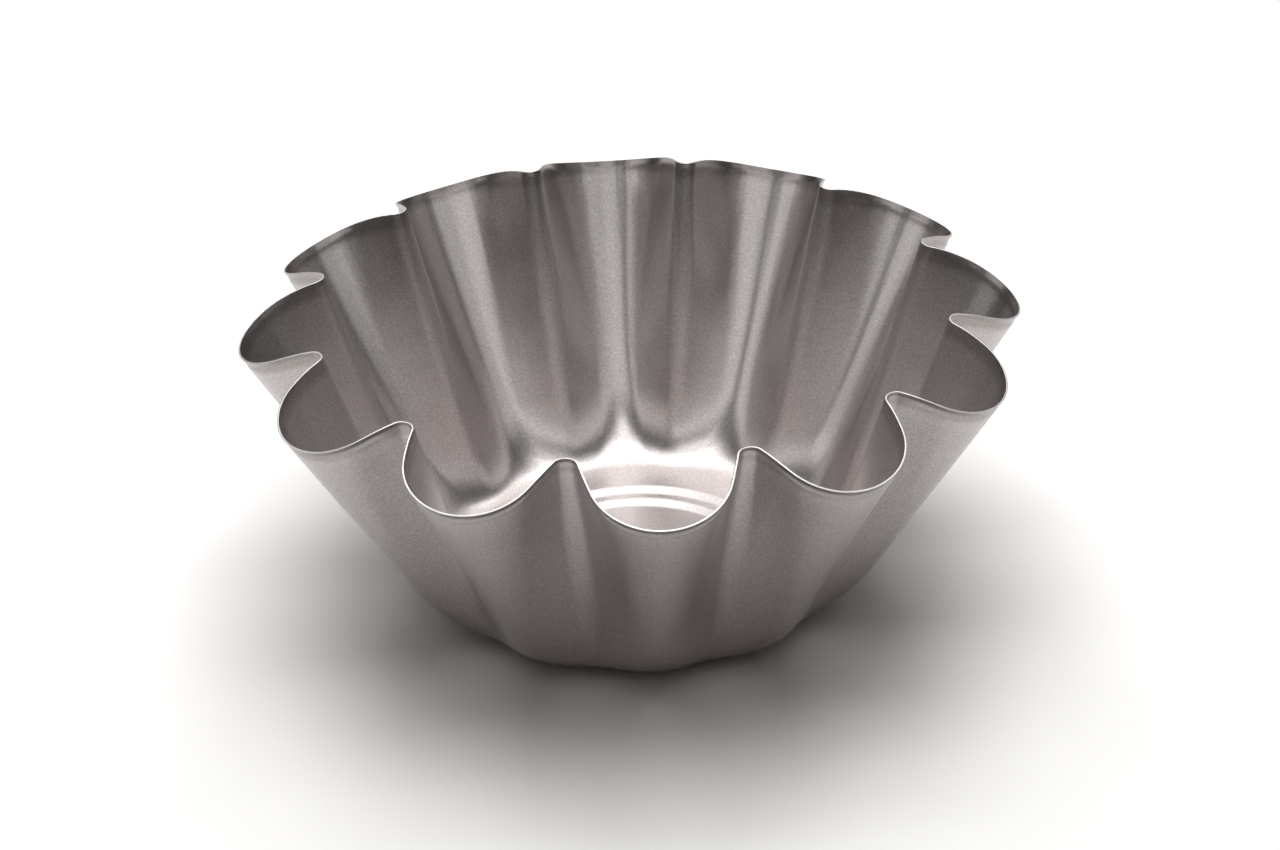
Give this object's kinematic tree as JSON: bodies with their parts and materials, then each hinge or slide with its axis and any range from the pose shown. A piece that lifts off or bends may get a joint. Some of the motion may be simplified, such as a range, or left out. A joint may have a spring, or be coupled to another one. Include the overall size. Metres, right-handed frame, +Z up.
{
  "type": "brioche mould",
  "caption": "Fluted round baking mould with flaring lobed wall, wavy trimmed rim and stepped flat floor, pressed from one coated steel sheet, for brioche and cakes",
  "frame": {"origin": "under the middle of the base, on the surface that the mould stands on", "axes": "+Z up along the mould's axis, +X and +Y through the crests of two lobes"},
  "size_m": [0.22, 0.22, 0.0895],
  "materials": {
    "coated_steel": "satin metallic grey non-stick coat"
  },
  "bodies": {
    "root": {"fluted_shell": "coated_steel"}
  },
  "joints": []
}
